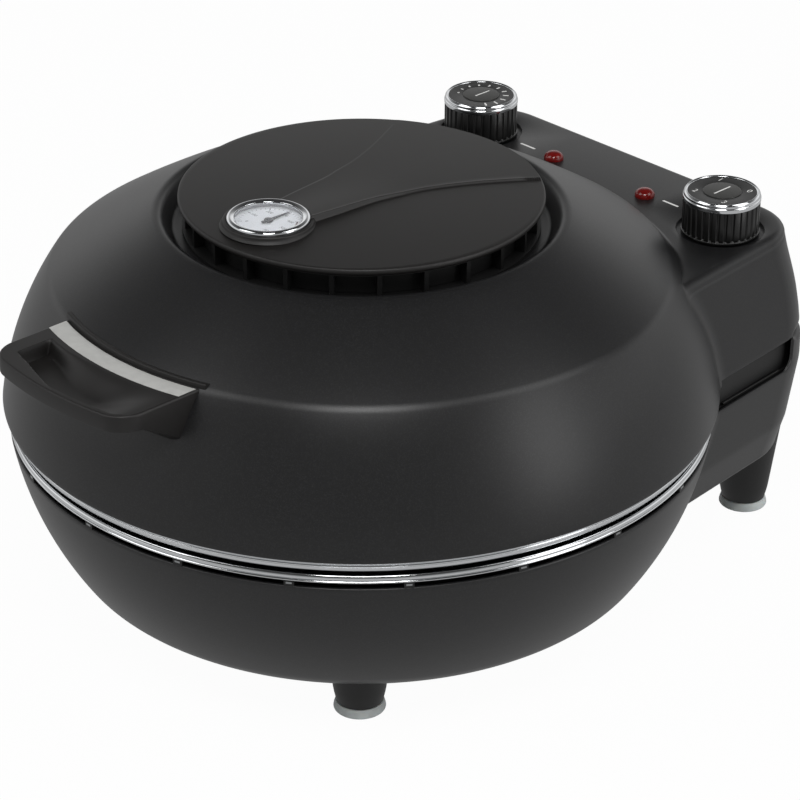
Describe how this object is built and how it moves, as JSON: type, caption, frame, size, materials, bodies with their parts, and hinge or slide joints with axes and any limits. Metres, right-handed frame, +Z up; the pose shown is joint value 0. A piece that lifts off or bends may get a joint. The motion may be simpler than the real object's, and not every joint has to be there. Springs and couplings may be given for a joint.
{
  "type": "electric pizza oven",
  "caption": "Round countertop oven with a hinged domed lid, tray handle, raised vent cover with thermometer, and a rear control box with knobs and pilot lamps.",
  "frame": {"origin": "on the table under the middle of the overall box of the closed oven, between the handle's front edge and the hinge at the rear", "axes": "+Z up, +Y towards the rear control box, -Y towards the handle, +X to the right of a person facing the handle"},
  "size_m": [0.3756, 0.446, 0.2372],
  "materials": {
    "shell_paint": "fine-textured charcoal stoving enamel with a metallic sparkle",
    "black_plastic": "satin black heat-proof moulding",
    "knob_plastic": "semi-gloss black moulding",
    "chrome": "polished plated trim",
    "sheet_steel": "rolled aluminised sheet steel",
    "screw_steel": "zinc-plated steel",
    "element_sheath": "dark oxidised heating-tube sheath",
    "stone": "fired cordierite, matt",
    "ceramic": "unglazed steatite",
    "pad_rubber": "pale grey silicone foot",
    "black_rubber": "black rubber bush",
    "dial_white": "matt white printed dial",
    "needle_black": "matt black pointer",
    "clear_glass": "flat clear glass",
    "pale_strip": "satin pale grey strip",
    "red_lens": "translucent red lens",
    "copper": "drawn copper tube"
  },
  "bodies": {
    "base": {"base_shell": "shell_paint", "base_trim_ring": "chrome", "rim_clips": "black_plastic", "base_pan": "sheet_steel", "baking_stone": "stone", "lower_element": "element_sheath", "lower_element_clips": "sheet_steel", "lower_bushes": "ceramic", "rear_deck": "black_plastic", "wiring_cover": "black_plastic", "cover_screws": "screw_steel", "terminal_block": "ceramic", "cable_gland": "black_rubber", "front_leg_left": "black_plastic", "front_leg_right": "black_plastic", "rear_leg_left": "black_plastic", "rear_leg_right": "black_plastic", "front_pad_left": "pad_rubber", "front_pad_right": "pad_rubber", "rear_pad_left": "pad_rubber", "rear_pad_right": "pad_rubber", "leg_screws": "screw_steel", "base_hinge_brackets": "sheet_steel", "hinge_pins": "screw_steel"},
    "lid": {"lid_shell": "shell_paint", "lid_trim_ring": "chrome", "lid_liner": "sheet_steel", "upper_element": "element_sheath", "upper_element_clips": "sheet_steel", "upper_bushes": "ceramic", "vent_ring": "black_plastic", "vent_cover": "black_plastic", "thermometer_case": "sheet_steel", "thermometer_dial": "dial_white", "thermometer_bezel": "chrome", "thermometer_glass": "clear_glass", "handle": "black_plastic", "handle_insert": "pale_strip", "handle_screws": "screw_steel", "pilot_lens_left": "red_lens", "pilot_lens_right": "red_lens", "lamp_holders": "ceramic", "thermostat": "sheet_steel", "sensor_capillary": "copper", "selector_switch": "ceramic", "control_bracket": "sheet_steel", "thermal_cutout": "ceramic", "lid_box_floor": "black_plastic", "lid_hinge_brackets": "sheet_steel"},
    "temperature_knob": {"left_knob_body": "knob_plastic", "left_knob_ring": "chrome", "left_knob_face": "knob_plastic", "left_knob_spindle": "screw_steel"},
    "function_knob": {"right_knob_body": "knob_plastic", "right_knob_ring": "chrome", "right_knob_face": "knob_plastic", "right_knob_spindle": "screw_steel"},
    "thermometer_needle": {"thermometer_needle": "needle_black"}
  },
  "joints": [
    {"name": "lid_hinge", "type": "hinge", "parent": "base", "child": "lid", "pos_m": [0, 0.21855, 0.117], "axis": [-1, 0, 0], "range_deg": [0, 95]},
    {"name": "temperature_knob_turn", "type": "hinge", "parent": "lid", "child": "temperature_knob", "pos_m": [-0.0903, 0.16055, 0.19], "axis": [0, 0, -1], "range_deg": [0, 300]},
    {"name": "function_knob_turn", "type": "hinge", "parent": "lid", "child": "function_knob", "pos_m": [0.0903, 0.16055, 0.19], "axis": [0, 0, -1], "range_deg": [0, 270]},
    {"name": "needle_turn", "type": "hinge", "parent": "lid", "child": "thermometer_needle", "pos_m": [0, -0.07995, 0.233], "axis": [0, 0, -1], "range_deg": [0, 270]}
  ]
}
